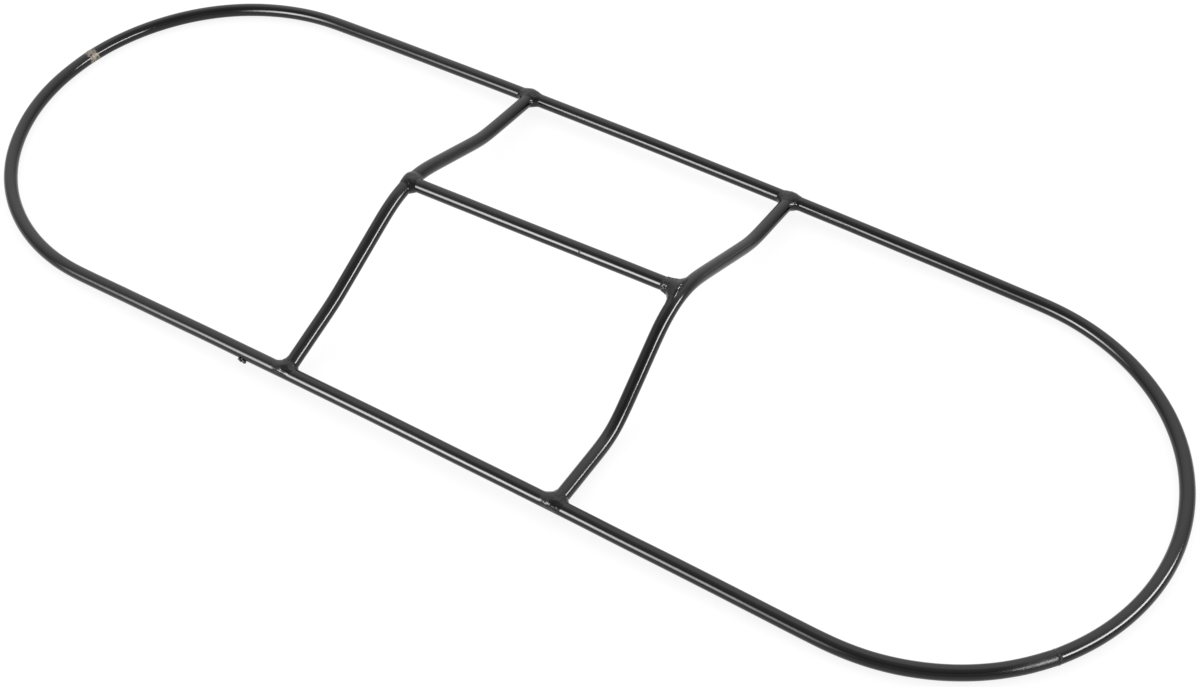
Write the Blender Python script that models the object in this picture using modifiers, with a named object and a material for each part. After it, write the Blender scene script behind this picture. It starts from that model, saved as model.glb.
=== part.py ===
"""Rescue stretcher frame: one flat rim of bent tube with two raised cross bars and a ridge bar, all welded.

Metres, +Z up. The origin is on the floor under the middle of the rim. +X runs along the stretcher and
+Y from the front rail to the back rail. The frame stands on the undersides of its two round ends.
"""
import math

import bmesh
import bpy
from mathutils import Matrix, Vector

# Driving dimensions
TUBE_RADIUS = 0.010
TUBE_WALL = 0.0015
RIM_HALF_WIDTH = 0.310  # from the middle to a rail's centreline, and the radius of each round end
RAIL_HALF_LENGTH = 0.596  # from the middle to where a rail meets a round end
RAIL_CAMBER = 0.0095  # how far a rail's middle stands above its ends
LEFT_SEAM_DEG = 170.0  # where the rim's two tubes meet on the left end, from +X about +Z
RIGHT_SEAM_DEG = -38.0
SEAM_WELD_WIDTH = 0.003
SPATTER_X = -0.283  # a drop of weld metal on the outside of the front rail
SPATTER_HALF_SIZES = (0.0062, 0.0036, 0.0038)  # along the rail, outwards and upwards
SPATTER_LEAN_DEG = -15.0

# Each cross bar is a bent tube in an upright plane. Its knees and its peak are the corners that its straight
# lengths would meet at, as (y, height above the rim's centreline), and each is rounded to its bend radius.
CROSS_BARS = {
    "left": {
        "front_x": -0.215,
        "back_x": -0.230,
        "corners": ((-0.195, 0.0355), (-0.0065, 0.107), (0.176, 0.0325)),
        "bend_radii": (0.080, 0.150, 0.080),
    },
    "right": {
        "front_x": 0.217,
        "back_x": 0.217,
        "corners": ((-0.174, 0.002), (-0.0085, 0.1195), (0.196, 0.025)),
        "bend_radii": (0.066, 0.102, 0.083),
    },
}
RIDGE_Y = {"left": 0.002, "right": 0.009}  # where the ridge bar meets each cross bar

# Weld beads: half sizes along the tube that is joined to, along the tube that joins it, and upwards
RAIL_WELD = (0.0160, 0.0110, 0.0128)
RIDGE_WELDS = {"left": (0.0150, 0.0095, 0.0134), "right": (0.0180, 0.0125, 0.0130)}

# Fineness and clearances
SIDES = 12
GAP = 0.0003
ROOT_GAP = 0.0005  # between a tube's end and the tube that it is welded to
ARC_STEP_DEG = 6.0
SEAM_LEAD_DEG = 0.8  # a short first step, so that a tube's end is square to its path at a seam
RAIL_SPANS = 8
BEND_STEP_DEG = 5.0
FLAT_TO_CORNER = 1 / math.cos(math.pi / SIDES)  # the sides of a tube, not its corners, are one radius out
BLACK = (0.012, 0.012, 0.013)
GREY = (0.36, 0.34, 0.31)


def clear_scene():
    for thing in list(bpy.data.objects):
        bpy.data.objects.remove(thing)


def new_collection(name):
    collection = bpy.data.collections.new(name)
    bpy.context.scene.collection.children.link(collection)
    return collection


def paint(name, colour, roughness, metallic):
    material = bpy.data.materials.new(name)
    material.use_nodes = True
    shader = material.node_tree.nodes["Principled BSDF"]
    shader.inputs["Base Color"].default_value = (*colour, 1.0)
    shader.inputs["Roughness"].default_value = roughness
    shader.inputs["Metallic"].default_value = metallic
    return material


def gloss_black(name):
    return paint(name + "_paint", BLACK, 0.15, 0.0)


def bare_metal(name):
    return paint(name + "_metal", GREY, 0.55, 0.8)


# Paths

def height_on_rail(x):
    return TUBE_RADIUS + RAIL_CAMBER * (1 - (x / RAIL_HALF_LENGTH) ** 2)


def rail_points(side, first_x, last_x):
    """Points along a rail. side is +1 on the back rail and -1 on the front one."""
    xs = [first_x + (last_x - first_x) * i / RAIL_SPANS for i in range(RAIL_SPANS + 1)]
    return [Vector((x, side * RIM_HALF_WIDTH, height_on_rail(x))) for x in xs]


def rim_end_point(end, angle_deg):
    """A point on the centreline of one round end. end is -1 on the left and +1 on the right."""
    angle = math.radians(angle_deg)
    x = end * RAIL_HALF_LENGTH + RIM_HALF_WIDTH * math.cos(angle)
    return Vector((x, RIM_HALF_WIDTH * math.sin(angle), TUBE_RADIUS))


def end_arc(end, first_deg, last_deg):
    steps = max(1, round(abs(last_deg - first_deg) / ARC_STEP_DEG))
    return [rim_end_point(end, first_deg + (last_deg - first_deg) * i / steps) for i in range(steps + 1)]


def rim_half(side):
    """The path of one of the rim's two tubes, from the left seam to the right one."""
    gap_deg = math.degrees((SEAM_WELD_WIDTH / 2 + GAP) / RIM_HALF_WIDTH)
    left_end = LEFT_SEAM_DEG - side * gap_deg
    right_end = RIGHT_SEAM_DEG + side * gap_deg
    rail_at_left = 90.0 if side > 0 else 270.0
    left = end_arc(-1, left_end - side * SEAM_LEAD_DEG, rail_at_left)
    right = end_arc(1, side * 90.0, right_end + side * SEAM_LEAD_DEG)
    rail = rail_points(side, -RAIL_HALF_LENGTH, RAIL_HALF_LENGTH)
    return [rim_end_point(-1, left_end)] + left[:-1] + rail + right[1:] + [rim_end_point(1, right_end)]


def rounded_corner(before, corner, after, radius):
    """Points of the arc that rounds a corner between two straight lengths."""
    towards_before = (before - corner).normalized()
    towards_after = (after - corner).normalized()
    half_angle = towards_before.angle(towards_after) / 2
    centre = corner + (towards_before + towards_after).normalized() * (radius / math.sin(half_angle))
    tangent_length = radius / math.tan(half_angle)
    start = corner + towards_before * tangent_length - centre
    end = corner + towards_after * tangent_length - centre
    turn = start.angle(end)
    steps = max(2, round(math.degrees(turn) / BEND_STEP_DEG))
    spin_axis = start.cross(end).normalized()
    return [centre + Matrix.Rotation(turn * i / steps, 3, spin_axis) @ start for i in range(steps + 1)]


def cross_bar_path(bar):
    """A cross bar's centreline, from the front rail's centreline to the back rail's."""

    def on_plane(y, z):
        share = (y + RIM_HALF_WIDTH) / (2 * RIM_HALF_WIDTH)
        return Vector((bar["front_x"] + (bar["back_x"] - bar["front_x"]) * share, y, z))

    corners = [on_plane(y, z + TUBE_RADIUS) for y, z in bar["corners"]]
    first = on_plane(-RIM_HALF_WIDTH, height_on_rail(bar["front_x"]))
    last = on_plane(RIM_HALF_WIDTH, height_on_rail(bar["back_x"]))
    stops = [first] + corners + [last]
    path = [first]
    for before, corner, after, radius in zip(stops, stops[1:], stops[2:], bar["bend_radii"]):
        path += rounded_corner(before, corner, after, radius)
    return path + [last]


def point_at_y(path, y):
    """Where a path from front to back crosses the given y."""
    for a, b in zip(path, path[1:]):
        if a.y <= y <= b.y:
            return a.lerp(b, (y - a.y) / (b.y - a.y))
    raise ValueError("the path doesn't reach this y")


# Solids

def link(collection, name, mesh, material=None):
    thing = bpy.data.objects.new(name, mesh)
    collection.objects.link(thing)
    if material:
        mesh.materials.append(material)
    return thing


def swept_mesh(name, path, radius, capped):
    """A mesh tube along a path, with one of its sides facing straight down."""
    curve = bpy.data.curves.new(name + "_path", "CURVE")
    curve.dimensions = "3D"
    curve.twist_mode = "Z_UP"
    curve.bevel_depth = radius * FLAT_TO_CORNER
    curve.bevel_resolution = SIDES // 2 - 2
    curve.use_fill_caps = capped
    spline = curve.splines.new("POLY")
    spline.points.add(len(path) - 1)
    for point, place in zip(spline.points, path):
        point.co = (*place, 1.0)
        point.tilt = math.pi / SIDES
    guide = bpy.data.objects.new(name + "_guide", curve)
    bpy.context.scene.collection.objects.link(guide)
    bpy.context.view_layer.update()
    evaluated = guide.evaluated_get(bpy.context.evaluated_depsgraph_get())
    mesh = bpy.data.meshes.new_from_object(evaluated)
    mesh.name = name
    mesh.transform(guide.matrix_world)
    bpy.data.objects.remove(guide)
    edit = bmesh.new()
    edit.from_mesh(mesh)
    bmesh.ops.remove_doubles(edit, verts=edit.verts, dist=1e-6)
    edit.to_mesh(mesh)
    edit.free()
    mesh.shade_smooth()
    return mesh


def hollow_tube(name, path, material):
    mesh = swept_mesh(name, path, TUBE_RADIUS, capped=False)
    tube = link(parts, name, mesh, material)
    wall = tube.modifiers.new("wall", "SOLIDIFY")
    wall.thickness = TUBE_WALL
    wall.offset = -1
    wall.use_even_offset = True
    return tube


def cutter(name, mesh):
    thing = link(cutters, name, mesh)
    thing.hide_render = True
    thing.display_type = "WIRE"
    return thing


def envelope(name, path, clearance):
    """A solid tube a little fatter than a real one, which cuts what meets that tube."""
    return cutter(name, swept_mesh(name, path, TUBE_RADIUS + clearance, capped=True))


def cut(thing, tool):
    hole = thing.modifiers.new("cut by " + tool.name, "BOOLEAN")
    hole.operation = "DIFFERENCE"
    hole.solver = "EXACT"
    hole.object = tool


def weld_bead(name, place, along_main, along_branch, half_sizes, main_tool, branch_tool):
    """The bead round a tube's end: a squashed ball that both tubes have been cut out of."""
    edit = bmesh.new()
    bmesh.ops.create_uvsphere(edit, u_segments=20, v_segments=12, radius=1.0)
    mesh = bpy.data.meshes.new(name)
    edit.to_mesh(mesh)
    edit.free()
    up = along_main.cross(along_branch).normalized()
    if up.z < 0:
        up = -up
    out = along_branch.normalized()
    side = out.cross(up)
    turn = Matrix((side, out, up)).transposed().to_4x4()
    centre = place + out * (TUBE_RADIUS - 0.001)
    mesh.transform(Matrix.Translation(centre) @ turn @ Matrix.Diagonal((*half_sizes, 1.0)))
    mesh.shade_smooth()
    bead = link(parts, name, mesh, gloss_black(name))
    cut(bead, main_tool)
    cut(bead, branch_tool)
    return bead


def seam_weld(name, end, angle_deg, material):
    """The ring of weld metal that fills the gap between the rim's two tubes, dressed flush."""
    outer = TUBE_RADIUS * FLAT_TO_CORNER
    inner = (TUBE_RADIUS - TUBE_WALL) * FLAT_TO_CORNER
    half = SEAM_WELD_WIDTH / 2
    profile = ((outer, half), (outer, -half), (inner, -half), (inner, half))
    edit = bmesh.new()
    corners = [edit.verts.new((radius, 0, height)) for radius, height in profile]
    for i, corner in enumerate(corners):
        edit.edges.new((corner, corners[(i + 1) % len(corners)]))
    mesh = bpy.data.meshes.new(name)
    edit.to_mesh(mesh)
    edit.free()
    ring = link(parts, name, mesh, material)
    spin = ring.modifiers.new("turn", "SCREW")
    spin.steps = SIDES
    spin.render_steps = SIDES
    spin.use_merge_vertices = True
    spin.merge_threshold = 1e-6
    angle = math.radians(angle_deg)
    outwards = Vector((math.cos(angle), math.sin(angle), 0))
    along = Vector((-math.sin(angle), math.cos(angle), 0))
    facing = Matrix((outwards, along.cross(outwards), along)).transposed().to_4x4()
    half_side = Matrix.Rotation(math.pi / SIDES, 4, "Z")
    ring.matrix_world = Matrix.Translation(rim_end_point(end, angle_deg)) @ facing @ half_side
    return ring


def spatter_bead():
    """A drop of weld metal that has frozen on the outside of the front rail."""
    name = "weld_spatter_nub"
    edit = bmesh.new()
    bmesh.ops.create_icosphere(edit, subdivisions=2, radius=1.0)
    bmesh.ops.scale(edit, vec=SPATTER_HALF_SIZES, verts=edit.verts)
    mesh = bpy.data.meshes.new(name)
    edit.to_mesh(mesh)
    edit.free()
    mesh.shade_smooth()
    nub = link(parts, name, mesh, gloss_black(name))
    reach = TUBE_RADIUS + SPATTER_HALF_SIZES[1] * 0.2
    lean = math.radians(SPATTER_LEAN_DEG)
    nub.location = (
        SPATTER_X,
        -RIM_HALF_WIDTH - reach * math.cos(lean),
        height_on_rail(SPATTER_X) + reach * math.sin(lean),
    )
    cut(nub, rail_tools["front"])
    return nub


clear_scene()
parts = new_collection("rescue_stretcher_frame")
cutters = new_collection("cutters")

for label, direction in (("front", -1), ("back", 1)):
    half_name = "rim_" + label + "_half"
    hollow_tube(half_name, rim_half(direction), gloss_black(half_name))
seam_weld("rim_seam_weld_left", -1, LEFT_SEAM_DEG, bare_metal("rim_seam_weld_left"))
seam_weld("rim_seam_weld_right", 1, RIGHT_SEAM_DEG, gloss_black("rim_seam_weld_right"))

rails = {
    "front": rail_points(-1, -RAIL_HALF_LENGTH, RAIL_HALF_LENGTH),
    "back": rail_points(1, -RAIL_HALF_LENGTH, RAIL_HALF_LENGTH),
}
rail_tools = {label: envelope(label + "_rail_space", path, GAP) for label, path in rails.items()}
rail_roots = {label: envelope(label + "_rail_root", path, ROOT_GAP) for label, path in rails.items()}

bar_paths = {label: cross_bar_path(bar) for label, bar in CROSS_BARS.items()}
bar_tools = {label: envelope(label + "_bar_space", path, GAP) for label, path in bar_paths.items()}
bar_roots = {label: envelope(label + "_bar_root", path, ROOT_GAP) for label, path in bar_paths.items()}
for label, path in bar_paths.items():
    bar_name = "cross_bar_" + label
    cross_bar = hollow_tube(bar_name, path, gloss_black(bar_name))
    cut(cross_bar, rail_roots["front"])
    cut(cross_bar, rail_roots["back"])
    joints = (("front", path[0], path[1]), ("back", path[-1], path[-2]))
    for rail, joint, next_point in joints:
        weld_bead(
            label + "_bar_weld_" + rail,
            joint,
            Vector((1, 0, 0)),
            next_point - joint,
            RAIL_WELD,
            rail_tools[rail],
            bar_tools[label],
        )

ridge_path = [point_at_y(bar_paths[label], RIDGE_Y[label]) for label in ("left", "right")]
ridge = hollow_tube("ridge_bar", ridge_path, gloss_black("ridge_bar"))
ridge_tool = envelope("ridge_space", ridge_path, GAP)
for label, joint, far_point in (("left", *ridge_path), ("right", *reversed(ridge_path))):
    cut(ridge, bar_roots[label])
    weld_bead(
        "ridge_weld_" + label,
        joint,
        Vector((0, 1, 0)),
        far_point - joint,
        RIDGE_WELDS[label],
        bar_tools[label],
        ridge_tool,
    )
spatter_bead()
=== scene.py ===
"""Looks of the rescue stretcher frame: smooth bent tubes, fused weld beads and gloss black enamel.

Metres, +Z up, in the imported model's own frame: +X along the stretcher, +Y from the front rail to the back
one.
"""

import math

import bmesh
import bpy
from mathutils import Matrix, Vector, noise


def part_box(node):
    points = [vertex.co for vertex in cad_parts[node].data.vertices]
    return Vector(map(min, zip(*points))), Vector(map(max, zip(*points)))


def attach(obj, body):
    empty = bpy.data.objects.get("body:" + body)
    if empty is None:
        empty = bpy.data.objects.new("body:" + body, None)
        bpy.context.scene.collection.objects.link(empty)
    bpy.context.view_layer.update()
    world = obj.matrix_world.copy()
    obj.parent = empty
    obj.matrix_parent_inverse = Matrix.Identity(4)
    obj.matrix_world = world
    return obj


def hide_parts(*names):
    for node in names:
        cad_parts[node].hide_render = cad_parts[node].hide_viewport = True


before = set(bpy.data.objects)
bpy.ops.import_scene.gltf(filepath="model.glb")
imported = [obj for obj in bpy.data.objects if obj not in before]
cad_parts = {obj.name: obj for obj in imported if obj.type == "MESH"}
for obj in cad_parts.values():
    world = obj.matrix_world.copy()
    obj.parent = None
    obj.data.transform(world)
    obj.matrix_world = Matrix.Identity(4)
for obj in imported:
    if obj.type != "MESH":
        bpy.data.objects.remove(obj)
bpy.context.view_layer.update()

# Sizes of the frame. The rim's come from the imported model, the bends are the design's own.
TUBE_RADIUS = 0.010
RIM_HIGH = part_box("rim_back_half")[1]
RIM_HALF_WIDTH = RIM_HIGH.y - TUBE_RADIUS
RAIL_HALF_LENGTH = RIM_HIGH.x - RIM_HALF_WIDTH - TUBE_RADIUS
RAIL_CAMBER = RIM_HIGH.z - 2 * TUBE_RADIUS
LEFT_SEAM_DEG = 170.0
RIGHT_SEAM_DEG = -38.0
SEAM_WELD_WIDTH = 0.003
CROSS_BARS = {
    "left": {
        "front_x": -0.215,
        "back_x": -0.230,
        "corners": ((-0.195, 0.0355), (-0.0065, 0.107), (0.176, 0.0325)),
        "bend_radii": (0.080, 0.150, 0.080),
    },
    "right": {
        "front_x": 0.217,
        "back_x": 0.217,
        "corners": ((-0.174, 0.002), (-0.0085, 0.1195), (0.196, 0.025)),
        "bend_radii": (0.066, 0.102, 0.083),
    },
}
RIDGE_Y = {"left": 0.002, "right": 0.009}

# How finely the tubes and welds are made
PATH_STEP = 0.004
TUBE_SIDES = 56
WELD_CELL = 0.0005
CRUMB_FACES = 500.0  # an island with fewer faces is a crumb of the field, not a part of the weld
FIELD_SCALE = 1000.0  # from metres to a density that the surface is cut from cleanly
KINK_SMOOTHING = 30  # passes that ease the rails into the round ends
HAND_BEND = 0.0005  # how far a bent tube wanders from its drawing
HAND_BEND_LENGTH = 0.16
HAND_BEND_EASE = 0.03  # the length at each end over which the wander fades out
HAND_BEND_SEED = 7
OUT_OF_ROUND = 0.00030
UNEVENNESS = 0.00006
WELD_ROOT_DEPTH = 0.0014  # how far a weld's skin reaches into the tubes that it joins
SEAM_ROOT_DEPTH = 0.0012


# Node trees

class Wire:
    """A socket in a node tree. Python's operators on it add the Math nodes that work the value out."""

    def __init__(self, tree, socket):
        self.tree = tree
        self.socket = socket

    def math(self, operation, *others):
        return self.tree.add("ShaderNodeMath", {"operation": operation}, [self, *others])

    def __add__(self, other):
        return self.math("ADD", other)

    def __sub__(self, other):
        return self.math("SUBTRACT", other)

    def __mul__(self, other):
        return self.math("MULTIPLY", other)

    def __truediv__(self, other):
        return self.math("DIVIDE", other)

    def __rsub__(self, other):
        return self.tree.add("ShaderNodeMath", {"operation": "SUBTRACT"}, [other, self])

    __radd__ = __add__
    __rmul__ = __mul__

    def least(self, other):
        return self.math("MINIMUM", other)

    def most(self, other):
        return self.math("MAXIMUM", other)

    def size(self):
        return self.math("ABSOLUTE")

    def rise(self, start, end):
        """0 below start, 1 above end, and a smooth step between them."""
        settings = {"interpolation_type": "SMOOTHSTEP"}
        values = {"Value": self, "From Min": start, "From Max": end}
        return self.tree.add("ShaderNodeMapRange", settings, values)

    def fall(self, start, end):
        return 1.0 - self.rise(start, end)

    def vector(self, operation, other=None, output="Vector"):
        values = [self] if other is None else [self, other]
        return self.tree.add("ShaderNodeVectorMath", {"operation": operation}, values, output)

    def dot(self, other):
        return self.vector("DOT_PRODUCT", other, "Value")

    def length(self):
        return self.vector("LENGTH", output="Value")

    def beside(self, output):
        """Another output of the node that this wire comes from."""
        return Wire(self.tree, self.socket.node.outputs[output])


class Tree:
    """A node tree that is filled from Python."""

    def __init__(self, nodes):
        self.nodes = nodes

    def add(self, kind, settings=None, values=(), output=0):
        """Adds a node: its settings first, then the values or wires of its inputs, by place or by name."""
        node = self.nodes.nodes.new(kind)
        for setting, value in (settings or {}).items():
            setattr(node, setting, value)
        pairs = values.items() if isinstance(values, dict) else enumerate(values)
        for place, value in pairs:
            if isinstance(value, Wire):
                self.nodes.links.new(value.socket, node.inputs[place])
            else:
                node.inputs[place].default_value = value
        return Wire(self, node.outputs[output]) if node.outputs else node

    def noise(self, place, scale, detail=2.0, roughness=0.5, output="Fac"):
        values = {"Vector": place, "Scale": scale, "Detail": detail, "Roughness": roughness}
        return self.add("ShaderNodeTexNoise", None, values, output)

    def mix_colours(self, factor, first, second):
        """The first colour where the factor is 0, the second where it is 1."""
        return self.add("ShaderNodeMix", {"data_type": "RGBA"}, {0: factor, 6: first, 7: second}, 2)


class GeometryTree(Tree):
    """A Geometry Nodes tree with named inputs."""

    def __init__(self, name, inputs):
        super().__init__(bpy.data.node_groups.new(name, "GeometryNodeTree"))
        self.names = {}
        for label, kind in inputs.items():
            socket = self.nodes.interface.new_socket(label, in_out="INPUT", socket_type="NodeSocket" + kind)
            self.names[label] = socket.identifier
        self.nodes.interface.new_socket("Geometry", in_out="OUTPUT", socket_type="NodeSocketGeometry")
        self.source = self.nodes.nodes.new("NodeGroupInput")

    def value(self, label):
        return Wire(self, self.source.outputs[label])

    def shifted(self, place):
        """A place moved by the seed, so that each piece gets its own part of a noise."""
        return place.vector("ADD", self.add("ShaderNodeCombineXYZ", None, [self.value("Seed"), 0.0, 0.0]))

    def distance_from(self, label, place):
        """The distance from the path that an input names."""
        settings = {"transform_space": "ORIGINAL"}
        path = self.add("GeometryNodeObjectInfo", settings, [self.value(label)], "Geometry")
        values = {"Geometry": path, "Sample Position": place}
        return self.add("GeometryNodeProximity", {"target_element": "EDGES"}, values, "Distance")

    def skin(self, field, place):
        """The surface where a field is 0, between the tree's two corners.

        The field is in metres, less than 0 inside.
        """
        values = {
            "Density": field * -FIELD_SCALE,
            "Background": -10.0,
            "Min": self.value("Low Corner"),
            "Max": self.value("High Corner"),
            "Resolution X": self.value("Cells X"),
            "Resolution Y": self.value("Cells Y"),
            "Resolution Z": self.value("Cells Z"),
        }
        cube = self.add("GeometryNodeVolumeCube", None, values)
        grid = {"resolution_mode": "GRID"}
        mesh = self.add("GeometryNodeVolumeToMesh", grid, {"Volume": cube, "Threshold": 0.0})
        island = self.add("GeometryNodeInputMeshIsland", None, [], "Island Index")
        per_island = {"data_type": "FLOAT", "domain": "FACE"}
        faces = {"Value": 1.0, "Group ID": island}
        count = self.add("GeometryNodeAccumulateField", per_island, faces, "Total")
        crumbs = {"Geometry": mesh, "Selection": count.math("LESS_THAN", CRUMB_FACES)}
        mesh = self.add("GeometryNodeDeleteGeometry", {"domain": "FACE"}, crumbs)
        blur = {"data_type": "FLOAT_VECTOR"}
        blurred = self.add("GeometryNodeBlurAttribute", blur, {"Value": place, "Iterations": 2})
        smoothed = self.add("GeometryNodeSetPosition", None, {"Geometry": mesh, "Position": blurred})
        self.end(smoothed, self.value("Finish"))

    def end(self, geometry, finish):
        """Closes the tree: smooth shading, real geometry and its material."""
        smooth = self.add("GeometryNodeSetShadeSmooth", None, [geometry])
        real = self.add("GeometryNodeRealizeInstances", None, [smooth])
        painted = self.add("GeometryNodeSetMaterial", None, {"Geometry": real, "Material": finish})
        self.add("NodeGroupOutput", None, [painted])

    def build(self, name, values):
        """Runs the tree with these values and returns the result as a plain mesh object."""
        host = bpy.data.objects.new(name + "_host", bpy.data.meshes.new(name + "_host"))
        bpy.context.scene.collection.objects.link(host)
        modifier = host.modifiers.new(name, "NODES")
        modifier.node_group = self.nodes
        for label, value in values.items():
            modifier[self.names[label]] = value
        bpy.context.view_layer.update()
        evaluated = host.evaluated_get(bpy.context.evaluated_depsgraph_get())
        mesh = bpy.data.meshes.new_from_object(evaluated)
        mesh.name = name
        bpy.data.objects.remove(host)
        piece = bpy.data.objects.new(name, mesh)
        bpy.context.scene.collection.objects.link(piece)
        return piece


# Finishes

class Finish(Tree):
    """A material with one Principled shader, and the pattern coordinates that it is worked out from."""

    def __init__(self, name):
        self.material = bpy.data.materials.new(name)
        self.material.use_nodes = True
        super().__init__(self.material.node_tree)
        self.shader = self.nodes.nodes["Principled BSDF"]
        self.place = self.add("ShaderNodeTexCoord", None, [], "Object")

    def set(self, **values):
        for label, value in values.items():
            socket = self.shader.inputs[label.replace("_", " ")]
            if isinstance(value, Wire):
                self.nodes.links.new(value.socket, socket)
            else:
                socket.default_value = value

    def bump(self, height, strength, distance):
        values = {"Strength": strength, "Distance": distance, "Height": height}
        return self.add("ShaderNodeBump", None, values)


BLACK_ENAMEL = (0.0042, 0.0042, 0.0046, 1.0)
DUSTY_ENAMEL = (0.0125, 0.0122, 0.0118, 1.0)
BARE_STEEL = (0.27, 0.26, 0.24, 1.0)
PRIMER_BEIGE = (0.21, 0.17, 0.125, 1.0)
BURNT_STEEL = (0.028, 0.024, 0.021, 1.0)
ENAMEL_IOR = 1.41
WORN_REACH = 0.0085  # how far to each side of the left seam the enamel is gone
BAR_NICKS = ((Vector((0.0623, -0.0018, 0.1164)), 0.0026),)  # on the ridge bar


def bare_colour(finish):
    """Scraped steel with the heat tint and the remains of primer left beside a weld."""
    blotches = finish.noise(finish.place, 260.0, 3.0, 0.65)
    tint = finish.mix_colours(blotches.rise(0.42, 0.60), BARE_STEEL, PRIMER_BEIGE)
    soot = finish.noise(finish.place, 410.0, 2.0, 0.7).rise(0.56, 0.66)
    return finish.mix_colours(soot, tint, BURNT_STEEL)


def enamel(name, worn_at=None, worn_along=None, dull_at=None, dull_along=None, nicks=()):
    """Gloss black enamel.

    worn_at is a spot where it is chipped off the tube, and worn_along the tube's way there. dull_at is where
    a length that was brushed over begins, and dull_along the way it goes. Each nick is a spot and its size.
    """
    finish = Finish(name)
    cloud = finish.noise(finish.place, 11.0, 3.0)
    fine = finish.noise(finish.place, 1500.0, 2.0)
    specks = finish.noise(finish.place, 620.0, 1.0, 0.4).rise(0.70, 0.76)
    facing = finish.add("ShaderNodeNewGeometry", None, [], "Normal").dot(Vector((0, 0, 1)))
    dust = facing.rise(0.35, 1.0) * (0.35 + 0.65 * cloud.rise(0.35, 0.65))
    dust = (dust * 0.35 + specks * facing.rise(0.0, 0.6) * 0.5).least(1.0)
    colour = finish.mix_colours(dust, BLACK_ENAMEL, DUSTY_ENAMEL)
    gloss = 0.085 + 0.05 * cloud + 0.05 * fine + 0.12 * dust
    peel = finish.noise(finish.place, 240.0, 1.0)
    sag = finish.noise(finish.place, 38.0, 1.0)
    height = peel * 0.18 + sag * 1.0
    metal = 0.0
    if worn_at:
        way = finish.place.vector("SUBTRACT", worn_at)
        along = way.dot(worn_along).size()
        ragged = finish.noise(finish.place, 210.0, 4.0, 0.7)
        bare = (along + (ragged - 0.5) * 0.013).fall(WORN_REACH - 0.0010, WORN_REACH)
        bare = bare * way.length().fall(0.03, 0.04)
        left_on = finish.noise(finish.place, 330.0, 3.0, 0.6).rise(0.53, 0.59)
        bare = bare * (1.0 - left_on)
        colour = finish.mix_colours(bare, colour, bare_colour(finish))
        gloss = gloss + bare * 0.40
        metal = bare * 0.5
        height = height - bare * 0.10
    if dull_at:
        way = finish.place.vector("SUBTRACT", dull_at)
        streaks = finish.noise(finish.place, 140.0, 3.0, 0.6).rise(0.40, 0.60)
        dull = way.dot(dull_along).rise(0.0015, 0.0035) * way.length().fall(0.035, 0.080)
        dull = dull * (0.7 + 0.3 * streaks)
        gloss = gloss + dull * 0.21
        height = height + dull * streaks * 0.15
    for spot, size in nicks:
        from_nick = finish.place.vector("SUBTRACT", spot).length()
        ragged = finish.noise(finish.place, 900.0, 1.0) - 0.5
        nick = (from_nick + ragged * size * 0.7).fall(size * 0.45, size * 0.75)
        gloss = gloss + nick * 0.35
        height = height - nick * 1.4
    finish.set(
        Base_Color=colour,
        Roughness=gloss,
        Metallic=metal,
        Normal=finish.bump(height, 0.55, 0.0003),
        IOR=ENAMEL_IOR,
    )
    return finish.material


def bare_weld_metal():
    """A weld that was scraped clean and left unpainted."""
    finish = Finish("Scraped_weld_metal")
    grain = finish.noise(finish.place, 900.0, 3.0, 0.6)
    finish.set(
        Base_Color=bare_colour(finish),
        Metallic=0.5,
        Roughness=0.40 + 0.3 * grain,
        Normal=finish.bump(grain, 0.7, 0.0004),
    )
    return finish.material


# Paths of the tubes

def height_on_rail(x):
    return TUBE_RADIUS + RAIL_CAMBER * (1 - (x / RAIL_HALF_LENGTH) ** 2)


def rim_end_point(end, angle_deg):
    """A point on the centreline of one round end. end is -1 on the left and +1 on the right."""
    angle = math.radians(angle_deg)
    x = end * RAIL_HALF_LENGTH + RIM_HALF_WIDTH * math.cos(angle)
    return Vector((x, RIM_HALF_WIDTH * math.sin(angle), TUBE_RADIUS))


def end_arc(end, first_deg, last_deg):
    steps = math.ceil(abs(math.radians(last_deg - first_deg)) * RIM_HALF_WIDTH / PATH_STEP)
    return [rim_end_point(end, first_deg + (last_deg - first_deg) * i / steps) for i in range(steps + 1)]


def rim_half_path(side):
    """The path of one of the rim's two tubes, from the left seam to the right one."""
    half_seam_deg = math.degrees(SEAM_WELD_WIDTH / 2 / RIM_HALF_WIDTH)
    left = end_arc(-1, LEFT_SEAM_DEG - side * half_seam_deg, 90.0 if side > 0 else 270.0)
    right = end_arc(1, side * 90.0, RIGHT_SEAM_DEG + side * half_seam_deg)
    steps = round(2 * RAIL_HALF_LENGTH / PATH_STEP)
    xs = [RAIL_HALF_LENGTH * (2 * i / steps - 1) for i in range(1, steps)]
    rail = [Vector((x, side * RIM_HALF_WIDTH, height_on_rail(x))) for x in xs]
    return left + rail + right


def rounded_corner(before, corner, after, radius):
    """Points of the arc that rounds a corner between two straight lengths."""
    towards_before = (before - corner).normalized()
    towards_after = (after - corner).normalized()
    half_angle = towards_before.angle(towards_after) / 2
    centre = corner + (towards_before + towards_after).normalized() * (radius / math.sin(half_angle))
    tangent_length = radius / math.tan(half_angle)
    start = corner + towards_before * tangent_length - centre
    end = corner + towards_after * tangent_length - centre
    turn = start.angle(end)
    steps = math.ceil(turn * radius / PATH_STEP)
    spin_axis = start.cross(end).normalized()
    return [centre + Matrix.Rotation(turn * i / steps, 3, spin_axis) @ start for i in range(steps + 1)]


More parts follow.
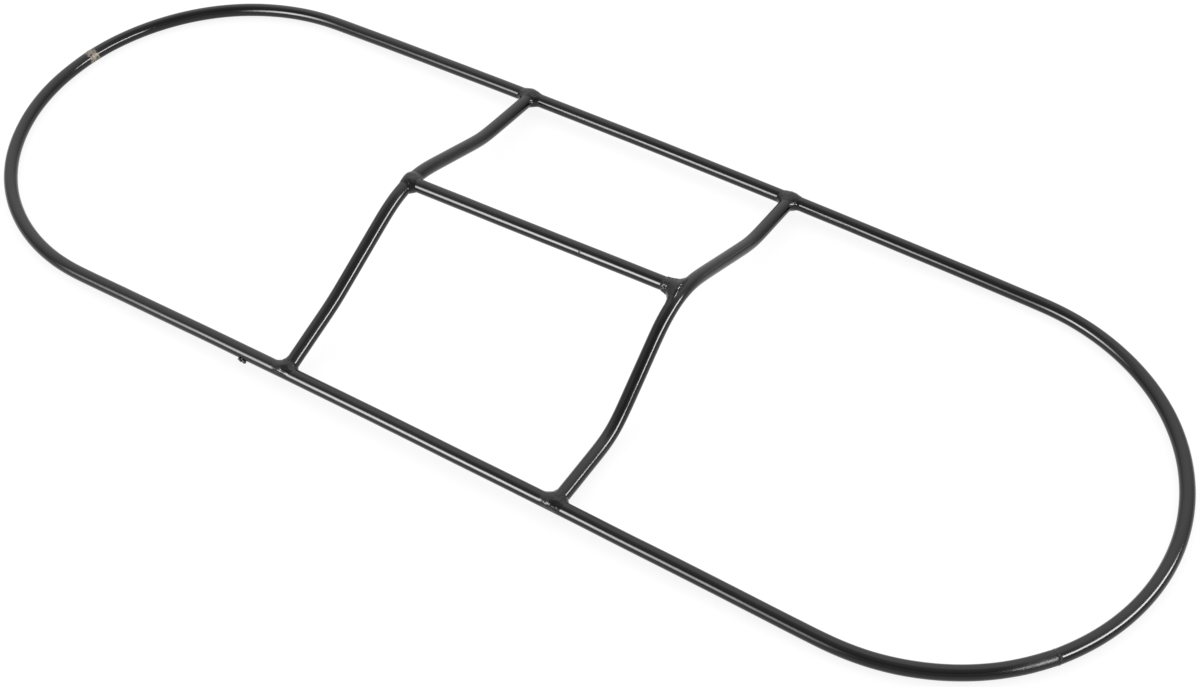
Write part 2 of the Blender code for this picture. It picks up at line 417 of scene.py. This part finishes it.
def cross_bar_path(bar):
    """A cross bar's centreline, from the front rail's centreline to the back rail's."""

    def on_plane(y, z):
        share = (y + RIM_HALF_WIDTH) / (2 * RIM_HALF_WIDTH)
        return Vector((bar["front_x"] + (bar["back_x"] - bar["front_x"]) * share, y, z))

    corners = [on_plane(y, z + TUBE_RADIUS) for y, z in bar["corners"]]
    first = on_plane(-RIM_HALF_WIDTH, height_on_rail(bar["front_x"]))
    last = on_plane(RIM_HALF_WIDTH, height_on_rail(bar["back_x"]))
    stops = [first] + corners + [last]
    path = [first]
    for before, corner, after, radius in zip(stops, stops[1:], stops[2:], bar["bend_radii"]):
        path += rounded_corner(before, corner, after, radius)
    return path + [last]


def point_at_y(path, y):
    """Where a path from front to back crosses the given y."""
    for a, b in zip(path, path[1:]):
        if a.y <= y <= b.y:
            return a.lerp(b, (y - a.y) / (b.y - a.y))
    raise ValueError("the path doesn't reach this y")


def hand_bent(path, seed):
    """The same path in even steps, with its bends eased and the slight wander of a tube bent by hand."""
    lengths = [(b - a).length for a, b in zip(path, path[1:])]
    steps = round(sum(lengths) / PATH_STEP)
    even, leg, done = [path[0]], 0, 0.0
    for i in range(1, steps):
        target = sum(lengths) * i / steps
        while done + lengths[leg] < target:
            done += lengths[leg]
            leg += 1
        even.append(path[leg].lerp(path[leg + 1], (target - done) / lengths[leg]))
    even.append(path[-1])
    for _ in range(KINK_SMOOTHING):
        even = [even[0]] + [(a + b * 2 + c) / 4 for a, b, c in zip(even, even[1:], even[2:])] + [even[-1]]
    wander = [noise.noise_vector(p / HAND_BEND_LENGTH + Vector((seed, 0, 0))) * HAND_BEND for p in even]
    wander = [Vector((w.x, w.y, abs(w.z))) for w in wander]
    last = len(even) - 1
    ease = [min(1.0, min(i, last - i) * PATH_STEP / HAND_BEND_EASE) for i in range(last + 1)]
    return [p + w * e for p, w, e in zip(even, wander, ease)]


def guide(name, path):
    """A path as an object that the node trees can read. It is never shown."""
    mesh = bpy.data.meshes.new(name)
    mesh.from_pydata([tuple(p) for p in path], [(i, i + 1) for i in range(len(path) - 1)], [])
    thing = bpy.data.objects.new(name, mesh)
    bpy.context.scene.collection.objects.link(thing)
    thing.hide_render = True
    return thing


# Tubes

def tube_tree():
    """A round tube along a guide."""
    inputs = {
        "Path": "Object",
        "Tube Radius": "Float",
        "Sides": "Int",
        "Out Of Round": "Float",
        "Unevenness": "Float",
        "Seed": "Float",
        "Finish": "Material",
    }
    tree = GeometryTree("Bent tube", inputs)
    original = {"transform_space": "ORIGINAL"}
    path = tree.add("GeometryNodeObjectInfo", original, [tree.value("Path")], "Geometry")
    curve = tree.add("GeometryNodeMeshToCurve", None, [path])
    profile_values = {"Resolution": tree.value("Sides"), "Radius": tree.value("Tube Radius")}
    profile = tree.add("GeometryNodeCurvePrimitiveCircle", {"mode": "RADIUS"}, profile_values)
    sweep_values = {"Curve": curve, "Profile Curve": profile, "Fill Caps": True}
    tube = tree.add("GeometryNodeCurveToMesh", None, sweep_values)
    place = tree.add("GeometryNodeInputPosition")
    shifted = tree.shifted(place)
    broad = tree.noise(shifted, 14.0, 1.0) - 0.5
    close = tree.noise(shifted, 120.0, 2.0) - 0.5
    swell = broad * tree.value("Out Of Round") + close * tree.value("Unevenness")
    normal = tree.add("GeometryNodeInputNormal")
    offset = normal.vector("MULTIPLY", tree.add("ShaderNodeCombineXYZ", None, [swell, swell, swell]))
    uneven = tree.add("GeometryNodeSetPosition", None, {"Geometry": tube, "Offset": offset})
    tree.end(uneven, tree.value("Finish"))
    return tree


# Welds

FIELD_INPUTS = {
    "Low Corner": "Vector",
    "High Corner": "Vector",
    "Cells X": "Int",
    "Cells Y": "Int",
    "Cells Z": "Int",
    "Tube Radius": "Float",
    "Root Depth": "Float",
    "Crown": "Float",
    "Lumps": "Float",
    "Seed": "Float",
    "Finish": "Material",
}


def between(corners):
    """The values that set where a field is worked out: the box round these corners, and its cells."""
    low = Vector([min(c[i] for c in corners) for i in range(3)])
    high = Vector([max(c[i] for c in corners) for i in range(3)])
    cells = [round(size / WELD_CELL) for size in high - low]
    return {
        "Low Corner": low,
        "High Corner": high,
        "Cells X": cells[0],
        "Cells Y": cells[1],
        "Cells Z": cells[2],
    }


def weld_tree():
    """A fillet weld where a branch tube ends on a main tube.

    It is the skin of a field of distances from both tubes. Its two legs differ: one lies towards the main
    tube's start and the other towards its end. Wrap is how far the bead goes past the main tube's centreline,
    on the side away from the branch, and Wrap Tilt is how much further it goes for each metre up.
    """
    inputs = {
        "Main Path": "Object",
        "Branch Path": "Object",
        "Joint": "Vector",
        "Main Way": "Vector",
        "Branch Way": "Vector",
        "Leg Before": "Float",
        "Leg After": "Float",
        "Wrap": "Float",
        "Wrap Tilt": "Float",
        "Ripples": "Float",
        "Pits": "Float",
        "Collar Length": "Float",
        "Collar Height": "Float",
        **FIELD_INPUTS,
    }
    tree = GeometryTree("Fillet weld", inputs)
    place = tree.add("GeometryNodeInputPosition")
    root_depth = tree.value("Root Depth")
    main = tree.distance_from("Main Path", place) - tree.value("Tube Radius")
    branch = tree.distance_from("Branch Path", place) - tree.value("Tube Radius")
    both = main.least(branch)
    from_joint = place.vector("SUBTRACT", tree.value("Joint"))
    across = from_joint.dot(tree.value("Main Way"))
    out = from_joint.dot(tree.value("Branch Way"))
    shifted = tree.shifted(place)
    side = across.rise(-0.006, 0.006)
    leg = tree.value("Leg Before") * (1.0 - side) + tree.value("Leg After") * side
    from_seam = (main * main + branch * branch).math("SQRT")
    ragged = (tree.noise(shifted, 120.0, 1.0) - 0.5) * 0.30
    height = from_joint.dot(Vector((0.0, 0.0, 1.0)))
    wrap = tree.value("Wrap") + height * tree.value("Wrap Tilt")
    back_edge = out + wrap + (tree.noise(shifted, 160.0, 1.0) - 0.5) * 0.004
    wrapped = back_edge.rise(-0.0015, 0.0035)
    closeness = (1.0 - (main - branch).size() / leg).most(0.0)
    filled = both - closeness * closeness * leg * 0.25 * back_edge.rise(-0.0040, 0.0020)
    on_bead = (from_seam / leg + ragged).fall(0.35, 1.05) * wrapped
    lumps = (tree.noise(shifted, 150.0, 2.0, 0.55) - 0.5) * tree.value("Lumps")
    up = tree.value("Main Way").vector("CROSS_PRODUCT", tree.value("Branch Way"))
    angle = from_joint.dot(up).math("ARCTAN2", across)
    wave = (angle * 26.0 + (tree.noise(shifted, 90.0, 1.0) - 0.5) * 7.0).math("SINE")
    ripples = wave.size() * tree.value("Ripples")
    cells = tree.add("ShaderNodeTexVoronoi", None, {"Vector": shifted, "Scale": 260.0}, "Distance")
    rare = tree.noise(shifted, 75.0, 0.0).rise(0.50, 0.60)
    pits = cells.fall(0.12, 0.34) * rare * tree.value("Pits")
    swell = (tree.value("Crown") + lumps + ripples - pits) * on_bead
    on_collar = branch.size().fall(0.002, 0.004) * out.rise(0.008, 0.012)
    collar_end = tree.value("Collar Length") + (tree.noise(shifted, 130.0, 1.0) - 0.5) * 0.006
    on_collar = on_collar * (1.0 - (out - collar_end).rise(-0.0015, 0.0015))
    rough = tree.noise(shifted, 330.0, 2.0, 0.6)
    craters = tree.add("ShaderNodeTexVoronoi", None, {"Vector": shifted, "Scale": 190.0}, "Distance")
    crater = craters.fall(0.10, 0.40)
    collar = on_collar * tree.value("Collar Height") * (0.5 + (rough - 0.35) * 3.2 - crater * 1.4).most(-0.8)
    sink = (from_seam / leg).rise(0.95, 1.45) * (1.0 - on_collar) + back_edge.fall(-0.0035, 0.0)
    skin = filled - swell - collar + sink * root_depth * 1.5
    tree.skin(skin.most(both * -1.0 - root_depth), place)
    return tree


def way_at(path, point):
    """The direction of a path where it passes closest to a point."""
    i = min(range(len(path) - 1), key=lambda k: (path[k] - point).length)
    return (path[i + 1] - path[max(i - 1, 0)]).normalized()


def weld(tree, name, main, branch, joint, shape, finish, seed):
    """A weld at a joint. The shape's Start is how far the branch's round end is drawn back from the joint."""
    main_way = way_at(main, joint)
    away = branch if (branch[0] - joint).length < (branch[-1] - joint).length else branch[::-1]
    branch_way = (away[6] - away[0]).normalized()
    start = shape["Start"]
    branch_line = [joint + branch_way * start]
    branch_line += [p for p in away if (p - joint).dot(branch_way) > start + 0.002]
    branch_guide = guide(name + "_branch", branch_line)
    main_guide = guide(name + "_main", [p for p in main if (p - joint).length < 0.08])
    leg = max(shape["Leg Before"], shape["Leg After"])
    span = main_way * (TUBE_RADIUS + leg * 1.5 + 0.004)
    far = branch_way * (TUBE_RADIUS + max(leg, shape["Collar Length"] - 0.006) * 1.5)
    near = branch_way * -(TUBE_RADIUS + 0.006)
    lift = main_way.cross(branch_way).normalized() * (TUBE_RADIUS + 0.006)
    corners = [joint + span * a + b + lift * c for a in (-1, 1) for b in (near, far) for c in (-1, 1)]
    values = {
        "Main Path": main_guide,
        "Branch Path": branch_guide,
        "Joint": joint,
        "Main Way": main_way,
        "Branch Way": branch_way,
        "Tube Radius": TUBE_RADIUS,
        "Root Depth": WELD_ROOT_DEPTH,
        "Seed": seed,
        "Finish": finish,
        **between(corners),
        **{label: size for label, size in shape.items() if label != "Start"},
    }
    bead = tree.build(name, values)
    for thing in (branch_guide, main_guide):
        bpy.data.objects.remove(thing)
    return bead


RAIL_SHAPE = {
    "Start": 0.0,
    "Wrap": 0.0110,
    "Wrap Tilt": 0.0,
    "Leg Before": 0.0090,
    "Leg After": 0.0085,
    "Crown": 0.0004,
    "Lumps": 0.0022,
    "Ripples": 0.00035,
    "Pits": 0.0010,
    "Collar Length": 0.0,
    "Collar Height": 0.0,
}
WELD_SHAPES = {
    "left_bar_weld_front": {
        **RAIL_SHAPE,
        "Start": 0.0045,
        "Wrap": 0.0045,
        "Wrap Tilt": 0.5,
        "Leg Before": 0.0125,
        "Leg After": 0.0065,
        "Lumps": 0.0018,
        "Pits": 0.0014,
    },
    "left_bar_weld_back": {
        **RAIL_SHAPE,
        "Start": 0.0012,
        "Wrap": 0.0075,
        "Wrap Tilt": 0.6,
        "Leg Before": 0.0100,
        "Leg After": 0.0095,
        "Crown": 0.0009,
        "Lumps": 0.0030,
    },
    "right_bar_weld_front": {
        **RAIL_SHAPE,
        "Start": 0.0020,
        "Wrap": 0.0075,
        "Wrap Tilt": 0.6,
        "Crown": 0.0007,
        "Leg Before": 0.0125,
        "Leg After": 0.0075,
    },
    "right_bar_weld_back": {
        **RAIL_SHAPE,
        "Start": 0.0012,
        "Wrap": 0.0075,
        "Wrap Tilt": 0.6,
        "Leg Before": 0.0090,
        "Leg After": 0.0095,
        "Crown": 0.0007,
        "Lumps": 0.0026,
    },
    "ridge_weld_left": {
        **RAIL_SHAPE,
        "Start": 0.0005,
        "Wrap": 0.0095,
        "Leg Before": 0.0070,
        "Leg After": 0.0075,
        "Crown": 0.0014,
        "Lumps": 0.0058,
        "Ripples": 0.0012,
    },
    "ridge_weld_right": {
        **RAIL_SHAPE,
        "Start": 0.0050,
        "Wrap": -0.0010,
        "Leg Before": 0.0225,
        "Leg After": 0.0150,
        "Crown": 0.0002,
        "Lumps": 0.0014,
        "Ripples": 0.0002,
        "Collar Length": 0.0270,
        "Collar Height": 0.0011,
    },
}


def seam_tree():
    """A butt weld round a tube, with one lump on it where the bead began and ended."""
    inputs = {
        "Path": "Object",
        "Seam": "Vector",
        "Way": "Vector",
        "Half Width": "Float",
        "Lump Place": "Vector",
        "Lump Radius": "Float",
        **FIELD_INPUTS,
    }
    tree = GeometryTree("Butt weld", inputs)
    place = tree.add("GeometryNodeInputPosition")
    root_depth = tree.value("Root Depth")
    tube = tree.distance_from("Path", place) - tree.value("Tube Radius")
    shifted = tree.shifted(place)
    from_seam = place.vector("SUBTRACT", tree.value("Seam"))
    ragged = (tree.noise(shifted, 190.0, 2.0, 0.6) - 0.5) * 0.0034
    along = (from_seam.dot(tree.value("Way")) + ragged).size() / tree.value("Half Width")
    lumps = (tree.noise(shifted, 260.0, 3.0, 0.6) - 0.5) * tree.value("Lumps")
    crown = (tree.value("Crown") + lumps) * along.fall(0.3, 1.0)
    bead = tube - crown + along.rise(0.85, 1.7) * root_depth * 1.6
    reach = place.vector("SUBTRACT", tree.value("Lump Place")).length()
    jagged = (tree.noise(shifted, 420.0, 2.0, 0.6) - 0.5) * 0.0016
    lump = reach - tree.value("Lump Radius") + jagged
    closeness = (1.0 - (bead - lump).size() / 0.0015).most(0.0)
    skin = bead.least(lump) - closeness * closeness * 0.0015 * 0.25
    tree.skin(skin.most(tube * -1.0 - root_depth), place)
    return tree


def seam_weld(tree, name, rim, seam, way, shape, finish, seed):
    """The weld round the rim where its two tubes meet."""
    line = guide(name + "_line", [p for p in rim if (p - seam).length < 0.05])
    reach = TUBE_RADIUS + 0.0045
    side = way.cross(Vector((0, 0, 1)))
    ends = (way * -0.011, way * 0.011)
    sides = (side * -reach, side * reach)
    heights = (Vector((0, 0, -reach)), Vector((0, 0, reach)))
    corners = [seam + a + b + c for a in ends for b in sides for c in heights]
    values = {
        "Path": line,
        "Seam": seam,
        "Way": way,
        "Tube Radius": TUBE_RADIUS,
        "Root Depth": SEAM_ROOT_DEPTH,
        "Seed": seed,
        "Finish": finish,
        **between(corners),
        **shape,
    }
    bead = tree.build(name, values)
    bpy.data.objects.remove(line)
    return bead


SEAM_SHAPES = {
    "left": {"Half Width": 0.0030, "Crown": 0.00005, "Lumps": 0.0008, "Lump Radius": 0.0012},
    "right": {"Half Width": 0.0030, "Crown": 0.0002, "Lumps": 0.0018, "Lump Radius": 0.0030},
}
# Where each seam's lump sits: how far round the tube from its outer side, towards the top
LUMP_DEG = {"left": 50.0, "right": 52.0}


def spatter_tree():
    """A drop of weld metal that froze on a tube: lumps strung on a short path, cut to rough facets."""
    inputs = {"Path": "Object", "Tube Path": "Object", "Facets": "Float", **FIELD_INPUTS}
    tree = GeometryTree("Weld spatter", inputs)
    place = tree.add("GeometryNodeInputPosition")
    tube = tree.distance_from("Tube Path", place) - tree.value("Tube Radius")
    shifted = tree.shifted(place)
    near = tree.distance_from("Path", place)
    lumps = (tree.noise(shifted, 210.0, 1.0) - 0.5) * tree.value("Lumps")
    facets = tree.add("ShaderNodeTexVoronoi", None, {"Vector": shifted, "Scale": 200.0}, "Distance") - 0.35
    drop = near - tree.value("Crown") - lumps + facets * tree.value("Facets")
    tree.skin(drop.most(tube * -1.0 - tree.value("Root Depth")), place)
    return tree


# The lumps of the drop are strung on this line, as ways from the drop's middle
DROP_LINE = (
    (-0.0045, 0.0002, 0.0006),
    (-0.0018, -0.0008, -0.0004),
    (0.0012, 0.0006, 0.0002),
    (0.0042, -0.0004, -0.0012),
)
DROP_REACH = Vector((0.012, 0.009, 0.009))


def spatter_drop(tree, name, node, rail, finish):
    """The drop of weld metal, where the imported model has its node."""
    low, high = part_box(node)
    middle = (low + high) / 2
    line = guide("nub_line", [middle + Vector(way) for way in DROP_LINE])
    tube = guide("nub_tube_line", [p for p in rail if (p - middle).length < 0.05])
    values = {
        "Path": line,
        "Tube Path": tube,
        "Facets": 0.0018,
        "Tube Radius": TUBE_RADIUS,
        "Root Depth": SEAM_ROOT_DEPTH,
        "Crown": 0.0025,
        "Lumps": 0.0016,
        "Seed": 3.0,
        "Finish": finish,
        **between([middle - DROP_REACH, middle + DROP_REACH]),
    }
    drop = tree.build(name, values)
    for thing in (line, tube):
        bpy.data.objects.remove(thing)
    return drop


# The object

def keep(piece, node):
    """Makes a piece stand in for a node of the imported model."""
    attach(piece, "root")
    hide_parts(node)


def seam_arc(side):
    """Angles round a rim end that pass its seam."""
    middle = LEFT_SEAM_DEG if side == "left" else RIGHT_SEAM_DEG
    return [middle + i for i in range(-8, 9)]


def shortened(path, length):
    """A path without its first and last lengths, which lie inside the tubes that it is welded to."""
    return [p for p in path if (p - path[0]).length > length and (p - path[-1]).length > length]


def way_round(angle_deg):
    """The rim's direction at an angle round one of its ends."""
    angle = math.radians(angle_deg)
    return Vector((-math.sin(angle), math.cos(angle), 0))


left_seam = rim_end_point(-1, LEFT_SEAM_DEG)
right_seam = rim_end_point(1, RIGHT_SEAM_DEG)
rim_finish = enamel(
    "Gloss_enamel_rim",
    worn_at=left_seam,
    worn_along=way_round(LEFT_SEAM_DEG),
    dull_at=right_seam,
    dull_along=-way_round(RIGHT_SEAM_DEG),
)
bar_finish = enamel("Gloss_enamel_bars", nicks=BAR_NICKS)
weld_finish = enamel("Gloss_enamel_welds")
seam_metal = bare_weld_metal()

# Without a seed of its own, the wander of the tubes would change with the clock.
noise.seed_set(HAND_BEND_SEED)
tubes = tube_tree()
paths = {
    "rim_front_half": hand_bent(rim_half_path(-1), 1.0),
    "rim_back_half": hand_bent(rim_half_path(1), 2.0),
    "cross_bar_left": hand_bent(cross_bar_path(CROSS_BARS["left"]), 3.0),
    "cross_bar_right": hand_bent(cross_bar_path(CROSS_BARS["right"]), 4.0),
}
ridge_ends = [point_at_y(paths["cross_bar_" + side], RIDGE_Y[side]) for side in ("left", "right")]
paths["ridge_bar"] = hand_bent(ridge_ends, 5.0)

for seed, (node, path) in enumerate(paths.items()):
    line = path if node.startswith("rim") else shortened(path, TUBE_RADIUS * 0.6)
    line_guide = guide(node + "_path", line)
    values = {
        "Path": line_guide,
        "Tube Radius": TUBE_RADIUS,
        "Sides": TUBE_SIDES,
        "Out Of Round": OUT_OF_ROUND,
        "Unevenness": UNEVENNESS,
        "Seed": seed * 3.7,
        "Finish": rim_finish if node.startswith("rim") else bar_finish,
    }
    keep(tubes.build(node + "_tube", values), node)
    bpy.data.objects.remove(line_guide)

welds = weld_tree()
for seed, side in enumerate(("left", "right")):
    bar = paths["cross_bar_" + side]
    for rail, joint in (("front", bar[0]), ("back", bar[-1])):
        node = f"{side}_bar_weld_{rail}"
        rim = paths[f"rim_{rail}_half"]
        number = seed * 2.3 + (rail == "back")
        bead = weld(welds, node + "_bead", rim, bar, joint, WELD_SHAPES[node], weld_finish, number)
        keep(bead, node)
    node = "ridge_weld_" + side
    ridge = paths["ridge_bar"]
    joint = ridge[0] if side == "left" else ridge[-1]
    bead = weld(welds, node + "_bead", bar, ridge, joint, WELD_SHAPES[node], weld_finish, seed * 2.3 + 5.0)
    keep(bead, node)

seams = seam_tree()
for seed, (side, seam, seam_finish, slot) in enumerate((
    ("left", left_seam, seam_metal, "bare_weld"),
    ("right", right_seam, weld_finish, "black_paint"),
)):
    node = "rim_seam_weld_" + side
    outwards = (seam - Vector((math.copysign(RAIL_HALF_LENGTH, seam.x), 0, seam.z))).normalized()
    turn = math.radians(LUMP_DEG[side])
    lump = seam + (outwards * math.cos(turn) + Vector((0, 0, math.sin(turn)))) * (TUBE_RADIUS - 0.0008)
    seam_way = Vector((-outwards.y, outwards.x, 0))
    joined = [rim_end_point(math.copysign(1, seam.x), angle) for angle in seam_arc(side)]
    shape = {**SEAM_SHAPES[side], "Lump Place": lump}
    bead = seam_weld(seams, node + "_bead", joined, seam, seam_way, shape, seam_finish, seed * 4.0)
    keep(bead, node)

drop_rail = paths["rim_front_half"]
drop = spatter_drop(spatter_tree(), "weld_spatter_nub_drop", "weld_spatter_nub", drop_rail, weld_finish)
keep(drop, "weld_spatter_nub")


# Studio

LIGHT_END = Vector((-0.281, 0.471, 0.836))  # the way from the stretcher to the light end of the room
DARK_HATCH = Vector((0.053, -0.250, 0.967))  # the way to the dark part of the ceiling
DIM_SIDE = 0.58
LIGHT_SIDE = 2.04
PAPER_GLOW = 0.86
PAPER_GREY = (0.20, 0.20, 0.20, 1.0)
WHITE = (1.0, 1.0, 1.0, 1.0)


def softbox(name, centre, width, height, brightness, even):
    """An upright softbox that faces the stretcher's middle. It is seen in the gloss, and the room lights the
    rest.

    even is the share of its half width and of its half height that is fully bright. The rest fades to the
    edge.
    """
    light = bpy.data.lights.new(name, "AREA")
    light.shape = "RECTANGLE"
    light.size = width
    light.size_y = height
    light.energy = brightness * math.pi * width * height
    lamp = bpy.data.objects.new(name, light)
    bpy.context.scene.collection.objects.link(lamp)
    lamp.location = centre
    lamp.rotation_euler = Vector((-centre[0], -centre[1], 0)).to_track_quat("-Z", "Y").to_euler()
    lamp.visible_diffuse = False
    light.use_nodes = True
    tree = Tree(light.node_tree)
    spot = tree.add("ShaderNodeNewGeometry", None, [], "Parametric").vector("SUBTRACT", (0.5, 0.5, 0.0))
    parts = tree.add("ShaderNodeSeparateXYZ", None, [spot])
    across = parts.size().fall(even[0] / 2, 0.5)
    up = parts.beside(1).size().fall(even[1] / 2, 0.5)
    light.node_tree.links.new((across * up).socket, light.node_tree.nodes["Emission"].inputs["Strength"])


def room():
    """Light walls and ceiling behind the stretcher, and a dimmer room behind the camera."""
    world = bpy.data.worlds.new("Room")
    bpy.context.scene.world = world
    world.use_nodes = True
    tree = Tree(world.node_tree)
    way = tree.add("ShaderNodeTexCoord", None, [], "Generated")
    brightness = DIM_SIDE + (LIGHT_SIDE - DIM_SIDE) * way.dot(LIGHT_END).rise(0.18, 1.30)
    brightness = brightness * (1.0 - 0.55 * way.dot(DARK_HATCH).rise(0.75, 0.90))
    background = world.node_tree.nodes["Background"]
    background.inputs["Color"].default_value = WHITE
    world.node_tree.links.new(brightness.socket, background.inputs["Strength"])


def floor():
    """The sheet of white paper under the stretcher, which glows a little so that it stays white."""
    mesh = bpy.data.meshes.new("floor")
    edit = bmesh.new()
    bmesh.ops.create_grid(edit, x_segments=1, y_segments=1, size=30.0)
    edit.to_mesh(mesh)
    edit.free()
    sheet = bpy.data.objects.new("floor", mesh)
    bpy.context.scene.collection.objects.link(sheet)
    paper = Finish("White_paper")
    paper.set(Base_Color=PAPER_GREY, Roughness=0.9, Specular_IOR_Level=0.0)
    paper.set(Emission_Color=WHITE, Emission_Strength=PAPER_GLOW)
    mesh.materials.append(paper.material)


def studio():
    floor()
    room()
    softbox("left_softbox", (-0.994, -2.40, 1.02), 3.30, 2.20, 24.1, (0.0, 0.14))
    softbox("right_softbox", (2.292, 0.149, 1.15), 2.29, 0.74, 26.6, (0.90, 0.84))


def camera():
    lens = bpy.data.cameras.new("camera")
    lens.lens = 55.87
    lens.sensor_width = 36.0
    view = bpy.data.objects.new("camera", lens)
    bpy.context.scene.collection.objects.link(view)
    view.location = (1.065, -1.391, 1.927)
    view.rotation_euler = [math.radians(a) for a in (40.493, 2.566, 32.169)]
    bpy.context.scene.camera = view


studio()
camera()
bpy.context.scene.view_settings.view_transform = "Standard"
